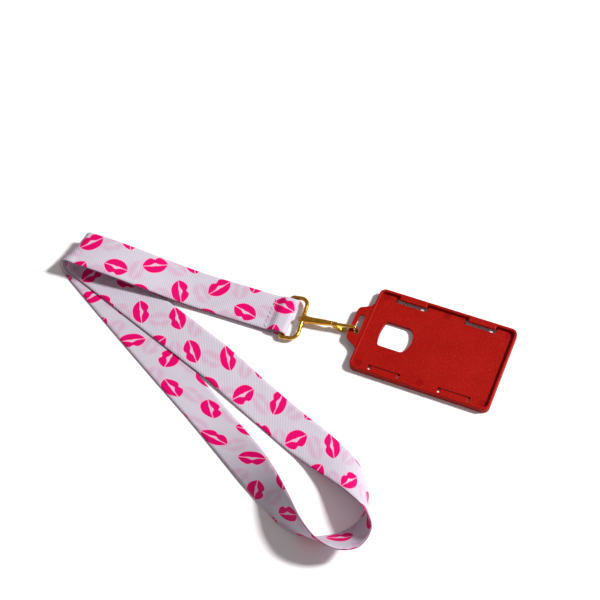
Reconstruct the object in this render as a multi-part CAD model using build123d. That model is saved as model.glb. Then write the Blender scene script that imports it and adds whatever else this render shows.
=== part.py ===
from build123d import *
import os
from math import cos, pi, radians, sin, tan

# Lanyard with a swivel snap hook and an open-faced card holder, in millimetres.
# The holder lies on its back on the table: X along it, its hanging tab towards -X,
# Z up, origin in the middle of its back face.

os.makedirs("parts", exist_ok=True)

# Card holder, for a card of 85.6 x 54 x 0.8
holder_length = 90.0
holder_width = 59.0
holder_height = 5.0
holder_corner = 4.0
pocket_length = 86.6
pocket_width = 55.2
pocket_corner = 2.6
floor_thickness = 2.9
clip_length = 18.0
clip_reach = 2.8
clip_thickness = 1.1
clip_corner = 0.8
clip_edge = 0.8
clip_centre_x = 22.5
clip_gap_inside = 1.5
clip_gap_near = 1.9
clip_gap_far = 0.8
thumb_centre_x = -24.6
thumb_length = 21.0
thumb_width = 18.0
thumb_bow_near = 1.5
thumb_bow_far = 3.4
thumb_corner_near = 2.4
thumb_corner_far = 4.2
mark_diameter = 4.6
mark_depth = 0.15
mark_pitch_x = 40.0
mark_offset_y = 24.7
tab_reach = 8.4
tab_base = 35.0
tab_tip = 19.0
tab_bottom = 3.4
tab_thickness = 1.3
slot_length = 14.5
slot_width = 4.0
slot_centre_x = -48.9

# Swivel hook: its own axis runs along the shank, from the seam towards the tab
seam = (-65.5, -6.2, 5.93)
hook_yaw = 7.0
hook_pitch = 6.0
wire_radius = 1.05
stem_radius = 1.0
bore_radius = 1.06
head_radius = 1.7
head_length = 0.85
collar_radius = 1.65
ear_radius = 1.3
leg_x = 16.4
return_z = -5.75
return_end_x = 10.0
bend_radius = 1.8
pivot_x = 2.6
pivot_z = -2.15
pin_radius = 0.45
ear_inside = 1.0
ear_outside = 1.5
lever_thickness = 0.9
lever_hole_radius = 0.5
lever_tip_x = 9.45

# Bow that carries the strap, with the barrel that the hook turns in
bow_wire_radius = 1.3
bow_front_x = -18.24
bow_depth = 11.4
bow_half_width = 14.7
bow_front_corner = 5.0
bow_back_corner = 2.2
hub_end_x = -19.94

# Strap
strap_width = 25.4
strap_thickness = 0.9
layer_pitch = 1.0
strap_yaw = 1.2
fold_x = -90.45
fold_y = -9.6
fold_radius = 2.1
fold_centre_z = 2.83
top_layer_z = 2.6
lift_start_x = -143.0
sewn_end_x = -100.4
crest_start_x = -103.7
crest_run = 6.1
flap_turn_x = -98.0
flap_rest_x = -102.0
flap_end_x = -112.0
stitch_x = -104.8
stitch_width = 1.6
stitch_count = 14
thread_radius = 0.16
roll_top_z = 12.3
table_z = 0.5
overlap_z = 1.6
roll_start_outer_x = -236.5
roll_start_inner_x = -235.6
heading_upper = -19.5
heading_lower = -30.0

hook_place = Pos(*seam) * Rot(0, 0, hook_yaw) * Rot(0, -hook_pitch, 0)


def card_shell():
    """Tray with a raised rim all round."""
    shell = extrude(RectangleRounded(holder_length, holder_width, holder_corner), holder_height)
    pocket = extrude(RectangleRounded(pocket_length, pocket_width, pocket_corner), holder_height)
    shell = shell - Pos(0, 0, floor_thickness) * pocket
    shell = fillet(shell.faces().sort_by(Axis.Z)[-1].edges(), 0.6)
    return fillet(shell.faces().sort_by(Axis.Z)[0].edges(), 0.5)


def hanging_tab():
    """Thin slotted tab with ogee flanks at the hanging end."""
    root_x = -holder_length / 2
    tip_x = root_x - tab_reach
    flank = Spline(
        (root_x, tab_base / 2),
        (root_x - tab_reach / 2, tab_base / 2 - 4.2),
        (tip_x, tab_tip / 2 - 0.5),
        tangents=((-0.3, -1), (0, -1)),
    )
    other_flank = mirror(flank, Plane.XZ)
    tip = Line((tip_x, tab_tip / 2 - 0.5), (tip_x, 0.5 - tab_tip / 2))
    inside = Polyline((root_x, -tab_base / 2), (root_x + 1, -tab_base / 2), (root_x + 1, tab_base / 2),
                      (root_x, tab_base / 2))
    outline = make_face([flank, tip, other_flank, inside])
    tab = extrude(outline, tab_thickness)
    slot = extrude(SlotOverall(slot_length, slot_width, rotation=90), tab_thickness)
    slot = Pos(slot_centre_x, 0, 0) * slot
    return Pos(0, 0, tab_bottom) * (tab - slot)


def thumb_hole():
    """Window with straight long sides and bowed ends, for pushing the card out."""
    end_x = thumb_length / 2
    near_x = thumb_bow_near - end_x
    far_x = end_x - thumb_bow_far
    half_y = thumb_width / 2
    top = Line((near_x, half_y), (far_x, half_y))
    right = ThreePointArc((far_x, half_y), (end_x, 0), (far_x, -half_y))
    bottom = Line((far_x, -half_y), (near_x, -half_y))
    left = ThreePointArc((near_x, -half_y), (-end_x, 0), (near_x, half_y))
    outline = make_face([top, right, bottom, left])
    outline = fillet(outline.vertices().sort_by(Axis.X)[:2], thumb_corner_near)
    outline = fillet(outline.vertices().sort_by(Axis.X)[-2:], thumb_corner_far)
    return Pos(thumb_centre_x, 0, 0) * extrude(outline, floor_thickness)


def retaining_clip(x, side):
    """Lip over the card, joined to the rim."""
    width = clip_reach + 1.0
    y = side * (pocket_width / 2 + 1.0 - width / 2)
    clip = Box(clip_length, width, clip_thickness)
    inner = clip.faces().sort_by(Axis.Y)[0 if side > 0 else -1]
    clip = fillet(inner.edges().filter_by(Axis.Z), clip_corner)
    top_edges = clip.faces().sort_by(Axis.Z)[-1].edges().sort_by(Axis.Y)
    clip = fillet(top_edges[0 if side > 0 else -1], clip_edge)
    return Pos(x, y, holder_height - clip_thickness / 2) * clip


def clip_window(x, side):
    """Opening in the floor under a clip, left by the mould's core."""
    width = clip_reach + clip_gap_inside
    length = clip_length + clip_gap_near + clip_gap_far
    x = x - (clip_gap_near - clip_gap_far) / 2
    y = side * (pocket_width / 2 - width / 2)
    return Pos(x, y, floor_thickness / 2) * Box(length, width, floor_thickness)


def card_holder():
    """One-piece moulded holder."""
    body = card_shell()
    for x in (-clip_centre_x, clip_centre_x):
        for side in (-1, 1):
            body = body + retaining_clip(x, side)
            body = body - clip_window(x, side)
    body = body - thumb_hole()
    mark = Cylinder(mark_diameter / 2, mark_depth)
    for x in (-mark_pitch_x, 0, mark_pitch_x):
        for side in (-1, 1):
            body = body - Pos(x, side * mark_offset_y, floor_thickness - mark_depth / 2) * mark
    return body + hanging_tab()


def rod(start, end, radius):
    """Round bar between two points."""
    axis = Vector(*end) - Vector(*start)
    return extrude(Plane(start, z_dir=axis) * Circle(radius), axis.length)


def hook_wire():
    """Hook wire: back bar, bend round the tab's strip, return limb with a round nose."""
    inner_x = leg_x - bend_radius
    path = Wire([
        Line((0.8, 0, 0), (inner_x, 0, 0)),
        Plane.XZ * CenterArc((inner_x, -bend_radius), bend_radius, 0, 90),
        Line((leg_x, 0, -bend_radius), (leg_x, 0, return_z + bend_radius)),
        Plane.XZ * CenterArc((inner_x, return_z + bend_radius), bend_radius, -90, 90),
        Line((inner_x, 0, return_z), (return_end_x + wire_radius, 0, return_z)),
    ])
    wire = sweep(Plane((0.8, 0, 0), z_dir=(1, 0, 0)) * Circle(wire_radius), path)
    return wire + Pos(return_end_x + wire_radius, 0, return_z) * Sphere(wire_radius)


def ear(side):
    """One of the two ears that hold the gate pin."""
    centre = side * (ear_inside + ear_outside) / 2
    width = ear_outside - ear_inside
    plate = Box(2 * ear_radius, width, -pivot_z)
    disc = Rot(90, 0, 0) * Cylinder(ear_radius, width)
    solid = Pos(pivot_x, centre, pivot_z / 2) * plate + Pos(pivot_x, centre, pivot_z) * disc
    return solid - Pos(pivot_x, centre, pivot_z) * (Rot(90, 0, 0) * Cylinder(pin_radius + 0.01, width))


def hook_body():
    """Hook with its swivelling stem, peened head, collar and ears."""
    stem = rod((-20.9, 0, 0), (1.0, 0, 0), stem_radius)
    head = rod((hub_end_x - 0.1 - head_length, 0, 0), (hub_end_x - 0.1, 0, 0), head_radius)
    head = fillet(head.faces().sort_by(Axis.X)[0].edges(), 0.5)
    collar = rod((0.1, 0, 0), (1.1, 0, 0), collar_radius)
    collar = fillet(collar.faces().sort_by(Axis.X)[-1].edges(), 0.3)
    crown = Pos(2.5, 0, 0.05) * Box(3.0, 2 * ear_outside, 1.3)
    crown = fillet(crown.edges().filter_by(Axis.X), 0.45)
    return stem + head + collar + crown + hook_wire() + ear(-1) + ear(1)


def gate_lever():
    """Spring gate: pinned knuckle, sloping arm, thumb knee and flat end."""
    half = lever_thickness / 2
    shape = make_face(Polyline(
        (pivot_x + 0.75, pivot_z - 0.35),
        (6.4, return_z + 0.25 + half),
        (lever_tip_x, return_z + 0.25 + half),
        (lever_tip_x, return_z + 0.25 - half),
        (6.0, return_z + 0.1 - half),
        (5.2, return_z + 0.45 - half),
        (pivot_x - 0.25, pivot_z - 0.95),
        close=True,
    ))
    arm = extrude(Plane.XZ * shape, 1.35, both=True)
    narrow = Rot(90, 0, 0) * (Cylinder(1.75, 4) - Cylinder(1.75, 1.84))
    arm = arm - Pos(pivot_x, 0, pivot_z) * narrow
    knuckle = Pos(pivot_x, 0.46, pivot_z) * (Rot(90, 0, 0) * Cylinder(1.0, 0.92))
    room = Pos(pivot_x, -0.52, pivot_z) * (Rot(90, 0, 0) * Cylinder(1.12, 1.0))
    hole = Pos(pivot_x, 0, pivot_z) * (Rot(90, 0, 0) * Cylinder(lever_hole_radius, 4))
    return arm - room + knuckle - hole


def gate_pin():
    """Rivet through the ears and the gate."""
    pin = Rot(90, 0, 0) * Cylinder(pin_radius, 2 * ear_outside + 0.4)
    for side in (-1, 1):
        head = Pos(0, side * (ear_outside + 0.14), 0) * (Rot(90, 0, 0) * Cylinder(0.75, 0.24))
        pin = pin + head
    return Pos(pivot_x, 0, pivot_z) * pin


def gate_spring():
    """Small torsion spring beside the gate's knuckle."""
    coil_radius = 0.72
    wire = 0.13
    turns = 1.5
    steps = 18
    points = [(pivot_x - 1.2, -0.3, pivot_z + coil_radius)]
    for i in range(steps + 1):
        angle = pi / 2 - 2 * pi * turns * i / steps
        y = -0.3 - 0.5 * i / steps
        points.append((pivot_x + coil_radius * cos(angle), y, pivot_z + coil_radius * sin(angle)))
    path = Spline(*points)
    return sweep(Plane(points[0], z_dir=path % 0) * Circle(wire), path)


def swivel_bow():
    """Wire bow with the flared hub and the bored barrel, one casting."""
    back_x = bow_front_x - bow_depth
    y = bow_half_width
    front = bow_front_corner
    back = bow_back_corner
    path = Wire([
        Line((bow_front_x, front - y), (bow_front_x, y - front)),
        CenterArc((bow_front_x - front, y - front), front, 0, 90),
        Line((bow_front_x - front, y), (back_x + back, y)),
        CenterArc((back_x + back, y - back), back, 90, 90),
        Line((back_x, y - back), (back_x, back - y)),
        CenterArc((back_x + back, back - y), back, 180, 90),
        Line((back_x + back, -y), (bow_front_x - front, -y)),
        CenterArc((bow_front_x - front, front - y), front, 270, 90),
    ])
    ring = sweep(Plane((bow_front_x, front - y, 0), z_dir=(0, 1, 0)) * Circle(bow_wire_radius), path)
    top = Spline((hub_end_x, 1.75), (bow_front_x, 2.7), (-14.5, 2.4), (-7.0, 2.05), (0, 1.6))
    outline = make_face([top, Polyline((0, 1.6), (0, 0), (hub_end_x, 0), (hub_end_x, 1.75))])
    barrel = revolve(outline, Axis.X)
    for side in (-1, 1):
        flare = Solid.make_cone(1.75, bow_wire_radius - 0.05, 5.5,
                                Plane((bow_front_x, side * 0.8, 0), z_dir=(0, side, 0)))
        barrel = barrel + flare
    return ring + barrel - rod((hub_end_x - 1, 0, 0), (1, 0, 0), bore_radius)


def direction(degrees_from_x):
    """Level unit vector."""
    return Vector(cos(radians(degrees_from_x)), sin(radians(degrees_from_x)), 0)


def level_pair(x, z):
    """North and south edge of the top run at a place along it."""
    along = direction(strap_yaw)
    centre = Vector(x, fold_y + (x - fold_x) * tan(radians(strap_yaw)), z)
    across = Vector(-along.Y, along.X, 0)
    return centre + across * (strap_width / 2), centre - across * (strap_width / 2)


def kept_above(point, floor_z):
    """Point, lifted where it would sink into what the strap lies on."""
    return Vector(point.X, point.Y, max(point.Z, floor_z))


def roll(x, z_top, z_bottom, heading_out, steps):
    """Edges of the strap where it rolls down and back round a slanted line."""
    heading_in = 180 + strap_yaw
    axis = direction((heading_in + 360 + heading_out) / 2)
    outward = Vector(axis.Y, -axis.X, 0)
    travel = direction(heading_in)
    slide = travel.dot(axis)
    turn = travel.dot(outward)
    radius = (z_top - z_bottom) / 2
    start = sum(level_pair(x, z_top), Vector()) * 0.5
    up = Vector(0, 0, 1)
    pairs = []
    for i in range(steps + 1):
        angle = pi * i / steps
        lengthwise = outward * cos(angle) - up * sin(angle)
        centre = start + axis * (slide * radius * angle / turn) + outward * (radius * sin(angle))
        centre = centre - up * (radius * (1 - cos(angle)))
        across = lengthwise * slide - axis * turn
        edges = (centre + across * (strap_width / 2), centre - across * (strap_width / 2))
        pairs.append(tuple(kept_above(edge, z_bottom) for edge in edges))
    return pairs


def between(first, second, steps):
    """Evenly spaced sections on a straight stretch, without its ends."""
    return [tuple(a + (b - a) * (i / steps) for a, b in zip(first, second)) for i in range(1, steps)]


# Loop end of the strap: its table edge and its raised edge, chosen by eye along the route
loop_stations = [
    ((-121, -41.5, 1.6), (-125.5, -66.5, 1.6)),
    ((-84, -57, 0.5), (-87, -82.2, 0.6)),
    ((-59, -67, 0.5), (-61.2, -92.3, 0.8)),
    ((-46, -71.5, 0.5), (-48, -96.8, 2)),
    ((-33.5, -76.5, 0.5), (-35.3, -101.3, 5)),
    ((-21.5, -82, 0.5), (-22.8, -105.8, 9.7)),
    ((-10.7, -90.4, 0.5), (-11, -111.2, 15)),
    ((-3.2, -101.8, 0.5), (0.6, -117.8, 19.5)),
    ((-1.2, -115, 0.5), (9.5, -127.6, 19.7)),
    ((-6.7, -127.3, 0.5), (6.9, -140, 18)),
    ((-17.4, -135.4, 0.5), (-4.3, -146.2, 19)),
    ((-30, -139.8, 0.5), (-17.5, -144.9, 21.7)),
    ((-43.4, -138.6, 0.5), (-29.2, -137.7, 21.6)),
    ((-55.5, -132.8, 0.5), (-39.4, -128.3, 19.6)),
    ((-67.5, -126.8, 0.5), (-49.2, -118.8, 16.2)),
    ((-79.3, -120.5, 0.5), (-59.3, -109.8, 12.1)),
    ((-90.9, -113.8, 0.5), (-69.9, -101.7, 8)),
    ((-102.5, -107.1, 0.5), (-81, -94.3, 4.5)),
    ((-114.2, -100.4, 0.5), (-92.7, -87.2, 1.8)),
    ((-126, -93.8, 0.5), (-104.2, -80.8, 0.5)),
]


def smooth(stations, steps):
    """Catmull-Rom curve through both edges of the stations."""
    pairs = [(Vector(*low), Vector(*high)) for low, high in stations]
    first = tuple(a * 2 - b for a, b in zip(pairs[0], pairs[1]))
    last = tuple(a * 2 - b for a, b in zip(pairs[-1], pairs[-2]))
    chain = [first] + pairs + [last]
    result = []
    for k in range(1, len(chain) - 2):
        for i in range(steps):
            t = i / steps
            section = []
            for a, b, c, d in zip(*chain[k - 1:k + 3]):
                curve = b * 2 + (c - a) * t + (a * 2 - b * 5 + c * 4 - d) * t**2
                section.append((curve + (b * 3 - a - c * 3 + d) * t**3) * 0.5)
            result.append(tuple(section))
    return result + [pairs[-1]]


def top_height(x):
    """Height of the top run: low by the bow, lifted towards the roll."""
    share = min(max((lift_start_x - x) / (lift_start_x - roll_start_outer_x), 0), 1)
    return top_layer_z + (roll_top_z - top_layer_z) * (1 - cos(pi * share)) / 2


def top_run(x_from, x_to, layer, steps):
    """Stretch of the top run; layer 0 is the upper ribbon, 1 the one under it."""
    places = [x_from + (x_to - x_from) * i / steps for i in range(steps + 1)]
    return [level_pair(x, top_height(x) - layer * layer_pitch) for x in places]


def fold_pairs():
    """Strap's end: up and over the bow's bar, round it, and back under as the sewn flap."""
    centre_x = fold_x - fold_radius
    crest_z = fold_centre_z + fold_radius
    pairs = []
    for i in range(7):
        rise = (crest_z - top_layer_z) * (1 - cos(pi * i / 6)) / 2
        pairs.append(level_pair(crest_start_x + crest_run * i / 6, top_layer_z + rise))
    for i in range(13):
        angle = pi / 2 - pi * i / 12
        z = fold_centre_z + fold_radius * sin(angle)
        pairs.append(level_pair(centre_x + fold_radius * cos(angle), z))
    pairs.append(level_pair(flap_turn_x, fold_centre_z - fold_radius))
    pairs.append(level_pair(flap_rest_x, top_layer_z - 2 * layer_pitch))
    pairs.append(level_pair(flap_end_x, top_layer_z - 2 * layer_pitch))
    return pairs


def swap(pairs):
    """Same sections with their edges exchanged."""
    return [(b, a) for a, b in pairs]


def strap_sections():
    """All sections of the strap, from its sewn-in end to the flap, as (table edge, raised edge)."""
    inner = roll(roll_start_inner_x, roll_top_z - layer_pitch, overlap_z, heading_upper, 14)
    outer = swap(roll(roll_start_outer_x, roll_top_z, table_z, heading_lower, 16))
    loop = smooth(loop_stations, 4)
    sections = top_run(sewn_end_x, roll_start_inner_x, 1, 20)[:-1] + inner
    sections += between(inner[-1], loop[0], 6) + loop
    sections += between(loop[-1], outer[-1], 6) + outer[::-1]
    return sections + swap(top_run(roll_start_outer_x, crest_start_x - 1, 0, 20)[1:] + fold_pairs())


def strap():
    """Woven ribbon, one piece, as a solid of even thickness."""
    sections = strap_sections()
    wires = []
    for i, (low, high) in enumerate(sections):
        before = sections[max(i - 1, 0)]
        after = sections[min(i + 1, len(sections) - 1)]
        travel = (after[0] + after[1] - before[0] - before[1]).normalized()
        across = (high - low).normalized()
        face = travel.cross(across).normalized() * (strap_thickness / 2)
        wires.append(Wire.make_polygon([low - face, high - face, high + face, low + face], close=True))
    return Solid.make_loft(wires, ruled=True)


def strap_stitching():
    """Zigzag row of thread across the sewn end."""
    z = top_layer_z + strap_thickness / 2 + thread_radius + 0.03
    half = strap_width / 2 - 1.6
    along = direction(strap_yaw)
    across = Vector(-along.Y, along.X, 0)
    centre = sum(level_pair(stitch_x, z), Vector()) * 0.5
    thread = None
    for i in range(stitch_count):
        ends = []
        for k in (i, i + 1):
            offset = stitch_width / 2 * (-1) ** k
            ends.append(centre + along * offset + across * (half * (2 * k / stitch_count - 1)))
        bar = rod(tuple(ends[0]), tuple(ends[1]), thread_radius) + Pos(*ends[1]) * Sphere(thread_radius)
        thread = bar if thread is None else thread + bar
    return thread


def write(name, shape):
    export_step(shape, f"parts/{name}.step")


write("card_holder", card_holder())
write("hook_body", hook_place * hook_body())
write("gate_lever", hook_place * gate_lever())
write("gate_pin", hook_place * gate_pin())
write("gate_spring", hook_place * gate_spring())
write("swivel_bow", hook_place * swivel_bow())
write("strap", strap())
write("strap_stitching", strap_stitching())
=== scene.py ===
import bpy
from math import atan2, cos, pi, radians, sin, tan
from mathutils import Matrix, Vector


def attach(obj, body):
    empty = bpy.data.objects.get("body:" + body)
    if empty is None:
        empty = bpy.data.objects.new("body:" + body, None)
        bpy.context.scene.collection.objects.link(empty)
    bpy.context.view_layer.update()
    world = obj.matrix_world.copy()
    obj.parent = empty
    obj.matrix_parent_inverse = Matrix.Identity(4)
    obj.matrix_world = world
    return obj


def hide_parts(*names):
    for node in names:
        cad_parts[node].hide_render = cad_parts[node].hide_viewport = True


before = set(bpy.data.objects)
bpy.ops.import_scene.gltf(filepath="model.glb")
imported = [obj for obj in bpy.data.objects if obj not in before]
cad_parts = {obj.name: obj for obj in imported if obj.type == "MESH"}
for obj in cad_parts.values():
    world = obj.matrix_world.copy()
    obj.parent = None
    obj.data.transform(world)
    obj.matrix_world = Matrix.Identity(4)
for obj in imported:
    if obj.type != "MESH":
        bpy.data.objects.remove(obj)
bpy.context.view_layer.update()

# The table and the light. The lanyard lies on a plain white table top under a
# window-like lamp high on the right, so its shadows are short and soft-edged.

table_hex = "F4F2F3"
lamp_heading = 27.0
lamp_height = 42.0
lamp_distance = 2.5
lamp_size = 0.34
lamp_watts = 98
lamp_hex = "FFFEFE"
room_hex = "F4EBEC"
room_strength = 0.34
table_reach = 3.0


def colour(hex_text):
    """sRGB hex to linear RGBA."""
    parts = [int(hex_text[i:i + 2], 16) / 255 for i in (0, 2, 4)]
    return tuple(c / 12.92 if c <= 0.04045 else ((c + 0.055) / 1.055) ** 2.4 for c in parts) + (1.0,)


def add(tree, kind, settings=None, inputs=None):
    """Adds a node: settings are its properties, inputs its values or the sockets that feed them."""
    node = tree.nodes.new(kind)
    for name, value in (settings or {}).items():
        setattr(node, name, value)
    for key, value in (inputs or {}).items():
        if isinstance(value, bpy.types.NodeSocket):
            tree.links.new(value, node.inputs[key])
        else:
            node.inputs[key].default_value = value
    return node


def new_material(name):
    """Empty material with its output node."""
    material = bpy.data.materials.new(name)
    material.use_nodes = True
    material.node_tree.nodes.clear()
    return material, material.node_tree, add(material.node_tree, "ShaderNodeOutputMaterial")


def new_mesh(name, points, faces, material):
    """Mesh object at the origin with its material."""
    mesh = bpy.data.meshes.new(name)
    mesh.from_pydata(points, [], faces)
    mesh.materials.append(material)
    piece = bpy.data.objects.new(name, mesh)
    bpy.context.collection.objects.link(piece)
    return piece


def dress(node_name, material):
    """Gives a CAD piece its finish."""
    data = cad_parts[node_name].data
    data.materials.clear()
    data.materials.append(material)


# Matt laminate: an even near-white that keeps shadows soft and warm.
laminate, tree, out = new_material("white_laminate")
shell = add(tree, "ShaderNodeBsdfPrincipled", {}, {"Base Color": colour(table_hex), "Roughness": 0.75})
tree.links.new(shell.outputs[0], out.inputs[0])
table_corners = [(-table_reach, -table_reach, 0), (table_reach, -table_reach, 0),
                 (table_reach, table_reach, 0), (-table_reach, table_reach, 0)]
table = new_mesh("table_top", table_corners, [(0, 1, 2, 3)], laminate)

world = bpy.data.worlds.new("room")
bpy.context.scene.world = world
world.use_nodes = True
world.node_tree.nodes["Background"].inputs[0].default_value = colour(room_hex)
world.node_tree.nodes["Background"].inputs[1].default_value = room_strength

middle = Vector((-0.09, -0.05, 0.0))
lamp_data = bpy.data.lights.new("window", "AREA")
lamp_data.shape = "SQUARE"
lamp_data.size = lamp_size
lamp_data.energy = lamp_watts
lamp_data.color = colour(lamp_hex)[:3]
lamp = bpy.data.objects.new("window", lamp_data)
toward = Vector((cos(radians(lamp_heading)) * cos(radians(lamp_height)),
                 sin(radians(lamp_heading)) * cos(radians(lamp_height)), sin(radians(lamp_height))))
lamp.location = middle + toward * lamp_distance
lamp.rotation_euler = toward.to_track_quat("Z", "Y").to_euler()
bpy.context.collection.objects.link(lamp)

# The camera stands over the near right side and leans a little to one side.
aim = Vector((-0.0917, 0.0059, 0.0))
camera_distance = 0.900
camera_heading = radians(30.5)
camera_height = radians(59.1)
camera_lean = radians(9.1)
camera_lens_mm = 85.1
back = Vector((sin(camera_heading) * cos(camera_height), -cos(camera_heading) * cos(camera_height),
               sin(camera_height)))
level = Vector((cos(camera_heading), sin(camera_heading), 0))
upward = back.cross(level)
right = level * cos(camera_lean) - upward * sin(camera_lean)
camera_data = bpy.data.cameras.new("camera")
camera_data.sensor_width = 36.0
camera_data.lens = camera_lens_mm
camera = bpy.data.objects.new("camera", camera_data)
turn = Matrix((right, back.cross(right), back)).transposed().to_4x4()
camera.matrix_world = Matrix.Translation(aim + back * camera_distance) @ turn
bpy.context.collection.objects.link(camera)
bpy.context.scene.camera = camera
bpy.context.scene.view_settings.view_transform = "Standard"


# Card holder: one tray of red styrene, injection moulded in a spark-eroded tool, with
# four clips, core windows under them, a thumb window and a slotted hanging tab.

spark_grain_mm = 0.4
painted_glint_mm = 0.75
cloud_mm = 9.0
ejector_pitch_mm = 40.0
ejector_row_mm = 24.7
ejector_radius_mm = 2.3
painted_glint_rarity = 0.55
grain_relief = 0.00008

# Moulded styrene: deep red with a dull spark-eroded grain, painted glints (small lighter
# red spots standing for highlights here and there), and darker smooth discs where the
# tool's six ejector pins end.
styrene, tree, out = new_material("red_moulded_styrene")
place = add(tree, "ShaderNodeTexCoord")
in_mm = add(tree, "ShaderNodeVectorMath", {"operation": "SCALE"}, {
    0: place.outputs["Object"], "Scale": 1000.0})
grain = add(tree, "ShaderNodeTexNoise", {}, {
    "Vector": in_mm.outputs[0], "Scale": 0.5 / spark_grain_mm, "Detail": 3.0, "Roughness": 0.6})
clouds = add(tree, "ShaderNodeTexNoise", {}, {
    "Vector": in_mm.outputs[0], "Scale": 0.5 / cloud_mm, "Detail": 2.0})
# Painted highlight: lighter red spots scattered over the grain stand for glints.
painted_glint_cells = add(tree, "ShaderNodeTexVoronoi", {}, {"Vector": in_mm.outputs[0], "Scale": 1 / painted_glint_mm})
painted_glint = add(tree, "ShaderNodeMapRange", {}, {0: painted_glint_cells.outputs["Distance"], 1: 0.22, 2: 0.05})
chance = add(tree, "ShaderNodeSeparateColor", {}, {0: painted_glint_cells.outputs["Color"]})
painted_glint_chosen = add(tree, "ShaderNodeMath", {"operation": "GREATER_THAN"}, {0: chance.outputs[0], 1: painted_glint_rarity})
painted_glint = add(tree, "ShaderNodeMath", {"operation": "MULTIPLY"}, {0: painted_glint.outputs[0], 1: painted_glint_chosen.outputs[0]})
body_red = add(tree, "ShaderNodeMix", {"data_type": "RGBA"}, {
    0: clouds.outputs[0], 6: colour("8A0802"), 7: colour("9C0D04")})
body_red = add(tree, "ShaderNodeMix", {"data_type": "RGBA"}, {
    0: painted_glint.outputs[0], 6: body_red.outputs[2], 7: colour("D84C40")})
speckle = add(tree, "ShaderNodeMapRange", {}, {0: grain.outputs[0], 1: 0.35, 2: 0.7, 3: 0.78, 4: 1.12})
body_red = add(tree, "ShaderNodeVectorMath", {"operation": "SCALE"}, {
    0: body_red.outputs[2], "Scale": speckle.outputs[0]})
spot = add(tree, "ShaderNodeSeparateXYZ", {}, {0: in_mm.outputs[0]})
from_pin = add(tree, "ShaderNodeMath", {"operation": "PINGPONG"}, {
    0: spot.outputs[0], 1: ejector_pitch_mm / 2})
from_row = add(tree, "ShaderNodeMath", {"operation": "ABSOLUTE"}, {0: spot.outputs[1]})
from_row = add(tree, "ShaderNodeMath", {"operation": "SUBTRACT"}, {0: from_row.outputs[0], 1: ejector_row_mm})
from_centre = add(tree, "ShaderNodeCombineXYZ", {}, {0: from_pin.outputs[0], 1: from_row.outputs[0]})
from_centre = add(tree, "ShaderNodeVectorMath", {"operation": "LENGTH"}, {0: from_centre.outputs[0]})
disc = add(tree, "ShaderNodeMapRange", {}, {
    0: from_centre.outputs["Value"], 1: ejector_radius_mm, 2: ejector_radius_mm - 0.3, 3: 0.0, 4: 0.8})
body_red = add(tree, "ShaderNodeMix", {"data_type": "RGBA"}, {
    0: disc.outputs[0], 6: body_red.outputs[0], 7: colour("800001")})
gloss = add(tree, "ShaderNodeMapRange", {}, {0: clouds.outputs[0], 1: 0.3, 2: 0.7, 3: 0.46, 4: 0.58})
relief = add(tree, "ShaderNodeBump", {}, {
    "Strength": 0.6, "Distance": grain_relief, "Height": grain.outputs[0]})
shell = add(tree, "ShaderNodeBsdfPrincipled", {}, {
    "Base Color": body_red.outputs[2], "Roughness": gloss.outputs[0], "Normal": relief.outputs[0],
    "Specular IOR Level": 0.1})
tree.links.new(shell.outputs[0], out.inputs[0])
dress("card_holder", styrene)


# Swivel bow and snap hook: die-cast bow with a bored barrel, and a hook bent from wire
# whose stem is riveted inside the bow. All are tumbled and flash-plated in gold colour.

tumble_and_painted_reflection_mm = 1.4
scuff_mm = 0.22
tumble_relief = 0.0003

# Gold flash plate: warm yellow metal with darker and brighter streaks painted in as reflections.
plate, tree, out = new_material("gold_flash_plate")
place = add(tree, "ShaderNodeTexCoord")
tumble_and_painted_reflection = add(tree, "ShaderNodeTexNoise", {}, {
    "Vector": place.outputs["Object"], "Scale": 1000 / tumble_and_painted_reflection_mm / 2, "Detail": 2.0})
scuffs = add(tree, "ShaderNodeTexNoise", {}, {
    "Vector": place.outputs["Object"], "Scale": 1000 / scuff_mm / 2, "Detail": 3.0})
# Painted reflection: the metal's colour swings between dark and bright streaks.
gold = add(tree, "ShaderNodeMix", {"data_type": "RGBA"}, {
    0: tumble_and_painted_reflection.outputs[0], 6: colour("A4680F"), 7: colour("EDBA4E")})
gloss = add(tree, "ShaderNodeMapRange", {}, {0: scuffs.outputs[0], 1: 0.3, 2: 0.7, 3: 0.16, 4: 0.32})
relief = add(tree, "ShaderNodeBump", {}, {
    "Strength": 0.6, "Distance": tumble_relief, "Height": tumble_and_painted_reflection.outputs[0]})
shell = add(tree, "ShaderNodeBsdfPrincipled", {}, {
    "Base Color": gold.outputs[2], "Metallic": 1.0, "Roughness": gloss.outputs[0],
    "Normal": relief.outputs[0]})
tree.links.new(shell.outputs[0], out.inputs[0])
for name in ("swivel_bow", "hook_body", "gate_lever", "gate_pin"):
    dress(name, plate)


# Gate spring: a turn and a half of hard-drawn steel wire beside the gate's knuckle,
# left bare, pressed over the gate pin when the gate is riveted in.

drawing_mm = 0.08

# Hard-drawn wire: grey, with fine lines left by the drawing die.
wire_steel, tree, out = new_material("hard_drawn_wire")
place = add(tree, "ShaderNodeTexCoord")
lines = add(tree, "ShaderNodeTexNoise", {}, {
    "Vector": place.outputs["Object"], "Scale": 1000 / drawing_mm / 2, "Detail": 1.0})
gloss = add(tree, "ShaderNodeMapRange", {}, {0: lines.outputs[0], 1: 0.3, 2: 0.7, 3: 0.22, 4: 0.4})
shell = add(tree, "ShaderNodeBsdfPrincipled", {}, {
    "Base Color": colour("B4B2AE"), "Metallic": 1.0, "Roughness": gloss.outputs[0]})
tree.links.new(shell.outputs[0], out.inputs[0])
dress("gate_spring", wire_steel)


# Strap: one length of inch-wide woven polyester ribbon, dye-printed on both faces with
# a lip motif. It is folded round the bow, rolled back on itself and laid in a loose loop.

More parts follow.
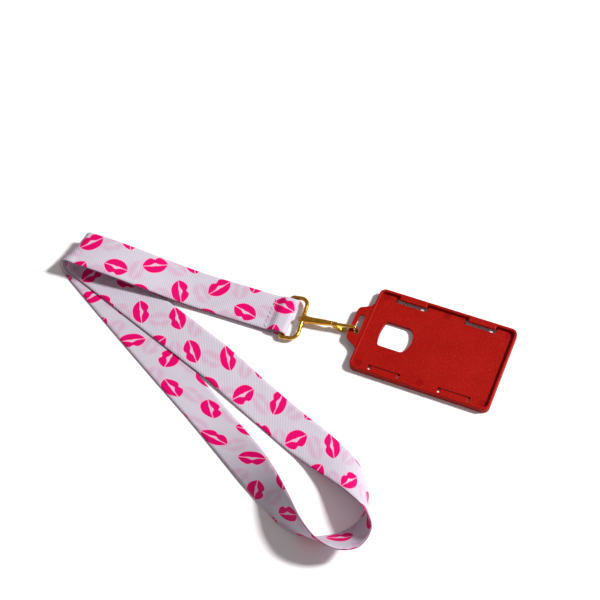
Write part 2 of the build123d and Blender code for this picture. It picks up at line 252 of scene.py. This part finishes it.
MM = 0.001
strap_width = 25.4
strap_thickness = 0.9
layer_pitch = 1.0
strap_yaw = 1.2
fold_x = -90.45
fold_y = -9.6
fold_radius = 2.1
fold_centre_z = 2.83
top_layer_z = 2.6
lift_start_x = -143.0
sewn_end_x = -100.4
crest_start_x = -103.7
crest_run = 6.1
flap_turn_x = -98.0
flap_rest_x = -102.0
flap_end_x = -112.0
roll_top_z = 12.3
table_z = 0.5
overlap_z = 1.6
roll_start_outer_x = -236.5
roll_start_inner_x = -235.6
heading_upper = -19.5
heading_lower = -30.0
section_pitch = 1.1
run_steps = 40
crest_steps = 10
bend_steps = 18
inner_roll_steps = 24
outer_roll_steps = 26
loop_steps = 16
strips_across = 14
selvedge_inset = 0.6
under_shift = 0.433
under_turn = 0.1
loop_stations = [
    ((-121, -41.5, 1.6), (-125.5, -66.5, 1.6)),
    ((-84, -57, 0.5), (-87, -82.2, 0.6)),
    ((-59, -67, 0.5), (-61.2, -92.3, 0.8)),
    ((-46, -71.5, 0.5), (-48, -96.8, 2)),
    ((-33.5, -76.5, 0.5), (-35.3, -101.3, 5)),
    ((-21.5, -82, 0.5), (-22.8, -105.8, 9.7)),
    ((-10.7, -90.4, 0.5), (-11, -111.2, 15)),
    ((-3.2, -101.8, 0.5), (0.6, -117.8, 19.5)),
    ((-1.2, -115, 0.5), (9.5, -127.6, 19.7)),
    ((-6.7, -127.3, 0.5), (6.9, -140, 18)),
    ((-17.4, -135.4, 0.5), (-4.3, -146.2, 19)),
    ((-30, -139.8, 0.5), (-17.5, -144.9, 21.7)),
    ((-43.4, -138.6, 0.5), (-29.2, -137.7, 21.6)),
    ((-55.5, -132.8, 0.5), (-39.4, -128.3, 19.6)),
    ((-67.5, -126.8, 0.5), (-49.2, -118.8, 16.2)),
    ((-79.3, -120.5, 0.5), (-59.3, -109.8, 12.1)),
    ((-90.9, -113.8, 0.5), (-69.9, -101.7, 8)),
    ((-102.5, -107.1, 0.5), (-81, -94.3, 4.5)),
    ((-114.2, -100.4, 0.5), (-92.7, -87.2, 1.8)),
    ((-126, -93.8, 0.5), (-104.2, -80.8, 0.5)),
]


def direction(degrees_from_x):
    """Level unit vector."""
    return Vector((cos(radians(degrees_from_x)), sin(radians(degrees_from_x)), 0))


def level_pair(x, z):
    """North and south edge of the top run at a place along it."""
    along = direction(strap_yaw)
    centre = Vector((x, fold_y + (x - fold_x) * tan(radians(strap_yaw)), z))
    across = Vector((-along.y, along.x, 0))
    return centre + across * (strap_width / 2), centre - across * (strap_width / 2)


def kept_above(point, floor_z):
    """Point, lifted where it would sink into what the strap lies on."""
    return Vector((point.x, point.y, max(point.z, floor_z)))


def roll(x, z_top, z_bottom, heading_out, steps):
    """Edges of the strap where it rolls down and back round a slanted line."""
    heading_in = 180 + strap_yaw
    axis = direction((heading_in + 360 + heading_out) / 2)
    outward = Vector((axis.y, -axis.x, 0))
    travel = direction(heading_in)
    slide = travel.dot(axis)
    sweep = travel.dot(outward)
    radius = (z_top - z_bottom) / 2
    north, south = level_pair(x, z_top)
    start = (north + south) / 2
    up = Vector((0, 0, 1))
    pairs = []
    for i in range(steps + 1):
        angle = pi * i / steps
        lengthwise = outward * cos(angle) - up * sin(angle)
        centre = start + axis * (slide * radius * angle / sweep) + outward * (radius * sin(angle))
        centre = centre - up * (radius * (1 - cos(angle)))
        across = lengthwise * slide - axis * sweep
        edges = (centre + across * (strap_width / 2), centre - across * (strap_width / 2))
        pairs.append(tuple(kept_above(edge, z_bottom) for edge in edges))
    return pairs


def smooth(stations, steps):
    """Catmull-Rom curve through both edges of the stations."""
    pairs = [(Vector(low), Vector(high)) for low, high in stations]
    first = tuple(a * 2 - b for a, b in zip(pairs[0], pairs[1]))
    last = tuple(a * 2 - b for a, b in zip(pairs[-1], pairs[-2]))
    chain = [first] + pairs + [last]
    result = []
    for k in range(1, len(chain) - 2):
        for i in range(steps):
            t = i / steps
            section = []
            for a, b, c, d in zip(*chain[k - 1:k + 3]):
                curve = b * 2 + (c - a) * t + (a * 2 - b * 5 + c * 4 - d) * t**2
                section.append((curve + (b * 3 - a - c * 3 + d) * t**3) * 0.5)
            result.append(tuple(section))
    return result + [pairs[-1]]


def top_height(x):
    """Height of the top run: low by the bow, lifted towards the roll."""
    share = min(max((lift_start_x - x) / (lift_start_x - roll_start_outer_x), 0), 1)
    return top_layer_z + (roll_top_z - top_layer_z) * (1 - cos(pi * share)) / 2


def top_run(x_from, x_to, layer, steps):
    """Stretch of the top run; layer 0 is the upper ribbon, 1 the one under it."""
    places = [x_from + (x_to - x_from) * i / steps for i in range(steps + 1)]
    return [level_pair(x, top_height(x) - layer * layer_pitch) for x in places]


def fold_pairs():
    """Strap's end: up and over the bow's bar, round it, and back under as the sewn flap."""
    centre_x = fold_x - fold_radius
    crest_z = fold_centre_z + fold_radius
    pairs = []
    for i in range(crest_steps + 1):
        rise = (1 - cos(pi * i / crest_steps)) / 2
        x = crest_start_x + crest_run * i / crest_steps
        pairs.append(level_pair(x, top_layer_z + (crest_z - top_layer_z) * rise))
    for i in range(bend_steps + 1):
        angle = pi / 2 - pi * i / bend_steps
        x = centre_x + fold_radius * cos(angle)
        pairs.append(level_pair(x, fold_centre_z + fold_radius * sin(angle)))
    pairs.append(level_pair(flap_turn_x, fold_centre_z - fold_radius))
    pairs.append(level_pair(flap_rest_x, top_layer_z - 2 * layer_pitch))
    pairs.append(level_pair(flap_end_x, top_layer_z - 2 * layer_pitch))
    return pairs


def swap(pairs):
    """Same sections with their edges exchanged."""
    return [(b, a) for a, b in pairs]


def strap_route():
    """Edges of the strap all along, from its sewn-in end to the flap."""
    route = top_run(sewn_end_x, roll_start_inner_x, 1, run_steps)[:-1]
    route += roll(roll_start_inner_x, roll_top_z - layer_pitch, overlap_z, heading_upper, inner_roll_steps)
    route += smooth(loop_stations, loop_steps)
    route += swap(roll(roll_start_outer_x, roll_top_z, table_z, heading_lower, outer_roll_steps))[::-1]
    return route + swap(top_run(roll_start_outer_x, crest_start_x - 1, 0, run_steps)[1:] + fold_pairs())


def even_sections(route, pitch):
    """Sections at an even pitch along the middle line, each with its length so far."""
    middles = [(a + b) / 2 for a, b in route]
    lengths = [0.0]
    for a, b in zip(middles, middles[1:]):
        lengths.append(lengths[-1] + (b - a).length)
    count = int(lengths[-1] / pitch)
    sections = []
    k = 0
    for i in range(count + 1):
        s = lengths[-1] * i / count
        while k < len(lengths) - 2 and lengths[k + 1] < s:
            k += 1
        t = (s - lengths[k]) / (lengths[k + 1] - lengths[k])
        sections.append((s, *(a.lerp(b, t) for a, b in zip(route[k], route[k + 1]))))
    return sections


def ribbon(sections, thickness, strips, material):
    """Closed ribbon with rounded selvedges. UVs are the place on the cloth in metres, and
    the under face's are turned over and shifted, so that it shows another run of the print."""
    profile = []
    selvedge = thickness * 0.5
    for side in (1, -1):
        for j in range(strips + 1):
            y = side * (1 - 2 * j / strips)
            profile.append((y, side, strap_width / 2 - selvedge * selvedge_inset))
        profile.append((-side, 0, strap_width / 2))
    points = []
    cloth = []
    for i, (s, low, high) in enumerate(sections):
        before = sections[max(i - 1, 0)]
        after = sections[min(i + 1, len(sections) - 1)]
        travel = (after[1] + after[2] - before[1] - before[2]).normalized()
        across = (high - low).normalized()
        face = travel.cross(across).normalized()
        centre = (low + high) / 2
        for y, side, half in profile:
            points.append((centre + across * (y * half) + face * (side * thickness / 2)) * MM)
            cloth.append((s * MM, y * half * MM, side))
    ring = len(profile)
    faces = []
    for i in range(len(sections) - 1):
        for j in range(ring):
            k = (j + 1) % ring
            faces.append((i * ring + j, i * ring + k, (i + 1) * ring + k, (i + 1) * ring + j))
    faces.append(tuple(range(ring))[::-1])
    faces.append(tuple(range((len(sections) - 1) * ring, len(sections) * ring)))
    piece = new_mesh("printed_ribbon", points, faces, material)
    layer = piece.data.uv_layers.new(name="cloth")
    for polygon in piece.data.polygons:
        sides = [cloth[v][2] for v in polygon.vertices]
        under = sum(sides) < 0
        for loop in polygon.loop_indices:
            s, y, side = cloth[piece.data.loops[loop].vertex_index]
            layer.data[loop].uv = (s + under_shift, under_turn - y) if under else (s, y)
    piece.data.shade_smooth()
    return piece


motif_pitch_along = 22.5
motif_pitch_across = 22.5
motif_half = 8.2
motif_row_start = 0.24
arch_power = 2.6
arch_fullness = 0.86
upper_lip = 5.5
upper_dip = 1.5
dip_narrowness = 24.0
lower_lip = 5.6
opening_least = 0.25
opening_swell = 0.85
swell_narrowness = 9.0
opening_lift = 0.35

# Lip motif: two arcs with a dip in the upper one and a thin opening between them.
# The group gives, in millimetres, how far inside the printed area a place is.
motif = bpy.data.node_groups.new("lip_motif", "ShaderNodeTree")
motif.interface.new_socket("Along", in_out="INPUT", socket_type="NodeSocketFloat")
motif.interface.new_socket("Across", in_out="INPUT", socket_type="NodeSocketFloat")
motif.interface.new_socket("Print", in_out="INPUT", socket_type="NodeSocketFloat")
motif.interface.new_socket("Inside", in_out="OUTPUT", socket_type="NodeSocketFloat")
given = add(motif, "NodeGroupInput")
result = add(motif, "NodeGroupOutput")
column_place = add(motif, "ShaderNodeMath", {"operation": "DIVIDE"}, {
    0: given.outputs[0], 1: motif_pitch_along}).outputs[0]
column = add(motif, "ShaderNodeMath", {"operation": "FLOOR"}, {0: column_place}).outputs[0]
from_column = add(motif, "ShaderNodeMath", {"operation": "SUBTRACT"}, {0: column_place, 1: column}).outputs[0]
odd = add(motif, "ShaderNodeMath", {"operation": "FLOORED_MODULO"}, {0: column, 1: 2.0}).outputs[0]
row_place = add(motif, "ShaderNodeMath", {"operation": "DIVIDE"}, {
    0: given.outputs[1], 1: motif_pitch_across}).outputs[0]
row_place = add(motif, "ShaderNodeMath", {"operation": "MULTIPLY_ADD"}, {
    0: odd, 1: 0.5, 2: row_place}).outputs[0]
row_place = add(motif, "ShaderNodeMath", {"operation": "ADD"}, {0: row_place, 1: motif_row_start}).outputs[0]
row = add(motif, "ShaderNodeMath", {"operation": "FLOOR"}, {0: row_place}).outputs[0]
from_row = add(motif, "ShaderNodeMath", {"operation": "SUBTRACT"}, {0: row_place, 1: row}).outputs[0]
cell = add(motif, "ShaderNodeCombineXYZ", {}, {0: column, 1: row, 2: given.outputs[2]})
chance = add(motif, "ShaderNodeTexWhiteNoise", {"noise_dimensions": "3D"}, {0: cell.outputs[0]})
chances = add(motif, "ShaderNodeSeparateColor", {}, {0: chance.outputs["Color"]})
x = add(motif, "ShaderNodeMath", {"operation": "SUBTRACT"}, {0: from_column, 1: 0.5}).outputs[0]
x = add(motif, "ShaderNodeMath", {"operation": "MULTIPLY"}, {0: x, 1: motif_pitch_along}).outputs[0]
y = add(motif, "ShaderNodeMath", {"operation": "SUBTRACT"}, {0: from_row, 1: 0.5}).outputs[0]
y = add(motif, "ShaderNodeMath", {"operation": "MULTIPLY"}, {0: y, 1: motif_pitch_across}).outputs[0]
spot = add(motif, "ShaderNodeCombineXYZ", {}, {0: x, 1: y})
angle = add(motif, "ShaderNodeMath", {"operation": "MULTIPLY"}, {0: chances.outputs[0], 1: 2 * pi}).outputs[0]
turned = add(motif, "ShaderNodeVectorRotate", {"rotation_type": "Z_AXIS"}, {
    0: spot.outputs[0], "Angle": angle})
local = add(motif, "ShaderNodeSeparateXYZ", {}, {0: turned.outputs[0]})
x = local.outputs[0]
y = local.outputs[1]
share = add(motif, "ShaderNodeMath", {"operation": "DIVIDE"}, {0: x, 1: motif_half}).outputs[0]
square = add(motif, "ShaderNodeMath", {"operation": "MULTIPLY"}, {0: share, 1: share}).outputs[0]
arch = add(motif, "ShaderNodeMath", {"operation": "ABSOLUTE"}, {0: share}).outputs[0]
arch = add(motif, "ShaderNodeMath", {"operation": "POWER"}, {0: arch, 1: arch_power}).outputs[0]
arch = add(motif, "ShaderNodeMath", {"operation": "SUBTRACT"}, {0: 1.0, 1: arch}).outputs[0]
arch = add(motif, "ShaderNodeMath", {"operation": "MAXIMUM"}, {0: arch, 1: 0.0}).outputs[0]
arch = add(motif, "ShaderNodeMath", {"operation": "POWER"}, {0: arch, 1: arch_fullness}).outputs[0]
off_end = add(motif, "ShaderNodeMath", {"operation": "ABSOLUTE"}, {0: x}).outputs[0]
off_end = add(motif, "ShaderNodeMath", {"operation": "SUBTRACT"}, {0: motif_half, 1: off_end}).outputs[0]
dip = add(motif, "ShaderNodeMath", {"operation": "MULTIPLY"}, {0: square, 1: -dip_narrowness}).outputs[0]
dip = add(motif, "ShaderNodeMath", {"operation": "EXPONENT"}, {0: dip}).outputs[0]
upper = add(motif, "ShaderNodeMath", {"operation": "MULTIPLY_ADD"}, {
    0: dip, 1: -upper_dip, 2: upper_lip}).outputs[0]
upper = add(motif, "ShaderNodeMath", {"operation": "MULTIPLY"}, {0: upper, 1: arch}).outputs[0]
upper = add(motif, "ShaderNodeMath", {"operation": "SUBTRACT"}, {0: upper, 1: y}).outputs[0]
lower = add(motif, "ShaderNodeMath", {"operation": "MULTIPLY_ADD"}, {0: arch, 1: lower_lip, 2: y}).outputs[0]
swell = add(motif, "ShaderNodeMath", {"operation": "MULTIPLY"}, {0: square, 1: -swell_narrowness}).outputs[0]
swell = add(motif, "ShaderNodeMath", {"operation": "EXPONENT"}, {0: swell}).outputs[0]
opening = add(motif, "ShaderNodeMath", {"operation": "MULTIPLY_ADD"}, {
    0: swell, 1: opening_swell, 2: opening_least}).outputs[0]
wave = add(motif, "ShaderNodeMath", {"operation": "MULTIPLY_ADD"}, {
    0: dip, 1: -2 * opening_lift, 2: opening_lift}).outputs[0]
gap = add(motif, "ShaderNodeMath", {"operation": "ADD"}, {0: y, 1: wave}).outputs[0]
gap = add(motif, "ShaderNodeMath", {"operation": "ABSOLUTE"}, {0: gap}).outputs[0]
gap = add(motif, "ShaderNodeMath", {"operation": "SUBTRACT"}, {0: gap, 1: opening}).outputs[0]
inside = add(motif, "ShaderNodeMath", {"operation": "MINIMUM"}, {0: upper, 1: lower}).outputs[0]
inside = add(motif, "ShaderNodeMath", {"operation": "MINIMUM"}, {0: inside, 1: gap}).outputs[0]
inside = add(motif, "ShaderNodeMath", {"operation": "MINIMUM"}, {0: inside, 1: off_end}).outputs[0]
motif.links.new(inside, result.inputs[0])

rib_mm = 1.4
warp_mm = 1.9
rib_relief = 0.0001
print_draw = 3.0
ghost_draw = 8.0
ghost_along_mm = 9.0
ghost_across_mm = 4.0
ghost_strength = 0.42
pink_edge_mm = 0.6
edge_painted_shade_mm = 0.24

# Printed polyester ribbon: cool white ribbed cloth with sharp hot-pink motifs, a paler
# rim of ink round each, faint blurred ghosts of the other face's print, and a thin dusky
# line of painted shade along both cut edges.
ribbon_cloth, tree, out = new_material("printed_polyester_ribbon")
cloth_uv = add(tree, "ShaderNodeUVMap", {"uv_map": "cloth"})
in_mm = add(tree, "ShaderNodeVectorMath", {"operation": "SCALE"}, {0: cloth_uv.outputs[0], "Scale": 1000.0})
axes = add(tree, "ShaderNodeSeparateXYZ", {}, {0: in_mm.outputs[0]})
along = axes.outputs[0]
across = axes.outputs[1]
rib = add(tree, "ShaderNodeMath", {"operation": "MULTIPLY"}, {0: along, 1: 2 * pi / rib_mm}).outputs[0]
warp = add(tree, "ShaderNodeMath", {"operation": "MULTIPLY"}, {0: across, 1: 2 * pi / warp_mm}).outputs[0]
slant_one = add(tree, "ShaderNodeMath", {"operation": "ADD"}, {0: rib, 1: warp}).outputs[0]
slant_two = add(tree, "ShaderNodeMath", {"operation": "SUBTRACT"}, {0: rib, 1: warp}).outputs[0]
slant_one = add(tree, "ShaderNodeMath", {"operation": "SINE"}, {0: slant_one}).outputs[0]
slant_two = add(tree, "ShaderNodeMath", {"operation": "SINE"}, {0: slant_two}).outputs[0]
weave = add(tree, "ShaderNodeMath", {"operation": "MULTIPLY_ADD"}, {
    0: slant_two, 1: 0.7, 2: slant_one}).outputs[0]
sharp = add(tree, "ShaderNodeGroup", {"node_tree": motif}, {0: along, 1: across, 2: print_draw})
mask = add(tree, "ShaderNodeMapRange", {}, {0: sharp.outputs[0], 1: -0.12, 2: 0.12})
rim = add(tree, "ShaderNodeMapRange", {}, {0: sharp.outputs[0], 1: -0.75, 2: -0.1})
shifted = add(tree, "ShaderNodeMath", {"operation": "ADD"}, {0: along, 1: ghost_along_mm}).outputs[0]
turned_over = add(tree, "ShaderNodeMath", {"operation": "MULTIPLY_ADD"}, {
    0: across, 1: -1.0, 2: ghost_across_mm}).outputs[0]
ghost = add(tree, "ShaderNodeGroup", {"node_tree": motif}, {0: shifted, 1: turned_over, 2: ghost_draw})
ghost_mask = add(tree, "ShaderNodeMapRange", {"interpolation_type": "SMOOTHSTEP"}, {
    0: ghost.outputs[0], 1: -1.2, 2: 1.8, 3: 0.0, 4: ghost_strength})
from_middle = add(tree, "ShaderNodeMath", {"operation": "PINGPONG"}, {0: across, 1: under_turn / MM / 2})
edge = add(tree, "ShaderNodeMapRange", {}, {
    0: from_middle.outputs[0], 1: strap_width / 2 - pink_edge_mm, 2: strap_width / 2 - 0.2, 3: 0.0, 4: 0.35})
mottle = add(tree, "ShaderNodeTexNoise", {}, {"Vector": in_mm.outputs[0], "Scale": 0.12, "Detail": 3.0})
ground = add(tree, "ShaderNodeMix", {"data_type": "RGBA"}, {
    0: mottle.outputs[0], 6: colour("B6B0BC"), 7: colour("C2BBC6")})
ground = add(tree, "ShaderNodeMix", {"data_type": "RGBA"}, {
    0: ghost_mask.outputs[0], 6: ground.outputs[2], 7: colour("C084A6")})
ground = add(tree, "ShaderNodeMix", {"data_type": "RGBA"}, {
    0: edge.outputs[0], 6: ground.outputs[2], 7: colour("D9789F")})
ground = add(tree, "ShaderNodeMix", {"data_type": "RGBA"}, {
    0: rim.outputs[0], 6: ground.outputs[2], 7: colour("E59FC0")})
dyed = add(tree, "ShaderNodeMix", {"data_type": "RGBA"}, {
    0: mask.outputs[0], 6: ground.outputs[2], 7: colour("CE0060")})
# Painted shade: a thin dusky line along both cut edges stands for the shade on the edges.
edge_painted_shade = add(tree, "ShaderNodeMapRange", {}, {
    0: from_middle.outputs[0], 1: strap_width / 2 - edge_painted_shade_mm, 2: strap_width / 2 - 0.16, 3: 0.0, 4: 0.8})
dyed = add(tree, "ShaderNodeMix", {"data_type": "RGBA"}, {
    0: edge_painted_shade.outputs[0], 6: dyed.outputs[2], 7: colour("66546C")})
# Painted shade: the weave's hollows are also darkened a little in the colour, besides the bump.
shade = add(tree, "ShaderNodeMapRange", {}, {0: weave, 1: -1.7, 2: 1.7, 3: 0.955, 4: 1.03})
dyed = add(tree, "ShaderNodeVectorMath", {"operation": "SCALE"}, {
    0: dyed.outputs[2], "Scale": shade.outputs[0]})
relief = add(tree, "ShaderNodeBump", {}, {"Strength": 0.35, "Distance": rib_relief, "Height": weave})
shell = add(tree, "ShaderNodeBsdfPrincipled", {}, {
    "Base Color": dyed.outputs[0], "Roughness": 0.6, "Normal": relief.outputs[0], "Specular IOR Level": 0.08})
tree.links.new(shell.outputs[0], out.inputs[0])

sections = even_sections(strap_route(), section_pitch)
strap = ribbon(sections, strap_thickness, strips_across, ribbon_cloth)
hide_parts("strap")
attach(strap, "lanyard")


# Stitching: a zigzag row of twisted polyester thread through the three layers of the
# strap, pulled down into the ribbon so that each leg stands up a little at its middle.

stitch_x = -104.8
stitch_row = 22.2
stitch_count = 14
stitch_width = 1.6
stitch_rise = 0.28
stitch_jitter = radians(5)
stitch_clearance = 0.06
stitch_seed = 3
thread_radius = 0.17

# Sewing thread: grey-lilac polyester, duller and darker than the ribbon.
thread, tree, out = new_material("polyester_sewing_thread")
place = add(tree, "ShaderNodeTexCoord")
fibres = add(tree, "ShaderNodeTexNoise", {}, {
    "Vector": place.outputs["Object"], "Scale": 4000.0, "Detail": 2.0})
lilac = add(tree, "ShaderNodeMix", {"data_type": "RGBA"}, {
    0: fibres.outputs[0], 6: colour("8F8796"), 7: colour("BDB5C4")})
shell = add(tree, "ShaderNodeBsdfPrincipled", {}, {"Base Color": lilac.outputs[2], "Roughness": 0.7})
tree.links.new(shell.outputs[0], out.inputs[0])

# One thread leg, bent up at its middle, is set on every point of a line across the strap
# and turned one way and the other in turn.
row = bpy.data.node_groups.new("stitch_row", "GeometryNodeTree")
row.interface.new_socket("Stitches", in_out="OUTPUT", socket_type="NodeSocketGeometry")
row_sizes = {}
for label, kind in (("Count", "Int"), ("Start", "Vector"), ("Step", "Vector"), ("Half leg", "Float"),
                    ("Rise", "Float"), ("Thread radius", "Float"), ("Heading", "Float"), ("Slant", "Float"),
                    ("Jitter", "Float"), ("Seed", "Int"), ("Thread", "Material")):
    socket = row.interface.new_socket(label, in_out="INPUT", socket_type="NodeSocket" + kind)
    row_sizes[label] = socket.identifier
given = add(row, "NodeGroupInput").outputs
line = add(row, "GeometryNodeMeshLine", {"mode": "OFFSET"}, {
    "Count": given["Count"], "Start Location": given["Start"], "Offset": given["Step"]})
far_end = add(row, "ShaderNodeCombineXYZ", {}, {0: given["Half leg"]})
near_end = add(row, "ShaderNodeVectorMath", {"operation": "SCALE"}, {0: far_end.outputs[0], "Scale": -1.0})
crown = add(row, "ShaderNodeCombineXYZ", {}, {2: given["Rise"]})
leg = add(row, "GeometryNodeCurveQuadraticBezier", {}, {
    "Resolution": 8, "Start": near_end.outputs[0], "Middle": crown.outputs[0], "End": far_end.outputs[0]})
section = add(row, "GeometryNodeCurvePrimitiveCircle", {}, {
    "Resolution": 8, "Radius": given["Thread radius"]})
leg = add(row, "GeometryNodeCurveToMesh", {}, {
    "Curve": leg.outputs[0], "Profile Curve": section.outputs[0], "Fill Caps": True})
order = add(row, "GeometryNodeInputIndex")
side = add(row, "ShaderNodeMath", {"operation": "FLOORED_MODULO"}, {0: order.outputs[0], 1: 2.0})
side = add(row, "ShaderNodeMath", {"operation": "MULTIPLY_ADD"}, {0: side.outputs[0], 1: 2.0, 2: -1.0})
turn = add(row, "ShaderNodeMath", {"operation": "MULTIPLY_ADD"}, {
    0: side.outputs[0], 1: given["Slant"], 2: given["Heading"]})
stray = add(row, "FunctionNodeRandomValue", {"data_type": "FLOAT"}, {"Seed": given["Seed"]})
stray = add(row, "ShaderNodeMath", {"operation": "MULTIPLY_ADD"}, {
    0: stray.outputs[1], 1: given["Jitter"], 2: turn.outputs[0]})
turn = add(row, "ShaderNodeCombineXYZ", {}, {2: stray.outputs[0]})
legs = add(row, "GeometryNodeInstanceOnPoints", {}, {
    "Points": line.outputs[0], "Instance": leg.outputs[0], "Rotation": turn.outputs[0]})
legs = add(row, "GeometryNodeRealizeInstances", {}, {0: legs.outputs[0]})
legs = add(row, "GeometryNodeSetMaterial", {}, {"Geometry": legs.outputs[0], "Material": given["Thread"]})
add(row, "NodeGroupOutput", {}, {0: legs.outputs[0]})

north, south = level_pair(stitch_x, top_layer_z + strap_thickness / 2 + stitch_clearance)
along_row = (north - south).normalized() * (stitch_row / stitch_count)
row_values = {
    "Count": stitch_count,
    "Start": ((north + south) / 2 - along_row * ((stitch_count - 1) / 2)) * MM,
    "Step": along_row * MM,
    "Half leg": Vector((stitch_width, stitch_row / stitch_count)).length / 2 * MM,
    "Rise": stitch_rise * MM,
    "Thread radius": thread_radius * MM,
    "Heading": radians(strap_yaw),
    "Slant": atan2(stitch_row / stitch_count, stitch_width),
    "Jitter": stitch_jitter,
    "Seed": stitch_seed,
    "Thread": thread,
}
guide = new_mesh("stitch_guide", [(0, 0, 0)], [], thread)
sewing = guide.modifiers.new("stitches", "NODES")
sewing.node_group = row
for label, value in row_values.items():
    sewing[row_sizes[label]] = value
sewn = guide.evaluated_get(bpy.context.evaluated_depsgraph_get())
stitches = bpy.data.objects.new("zigzag_stitches", bpy.data.meshes.new_from_object(sewn))
bpy.data.objects.remove(guide)
bpy.context.collection.objects.link(stitches)
stitches.data.shade_smooth()
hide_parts("strap_stitching")
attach(stitches, "lanyard")
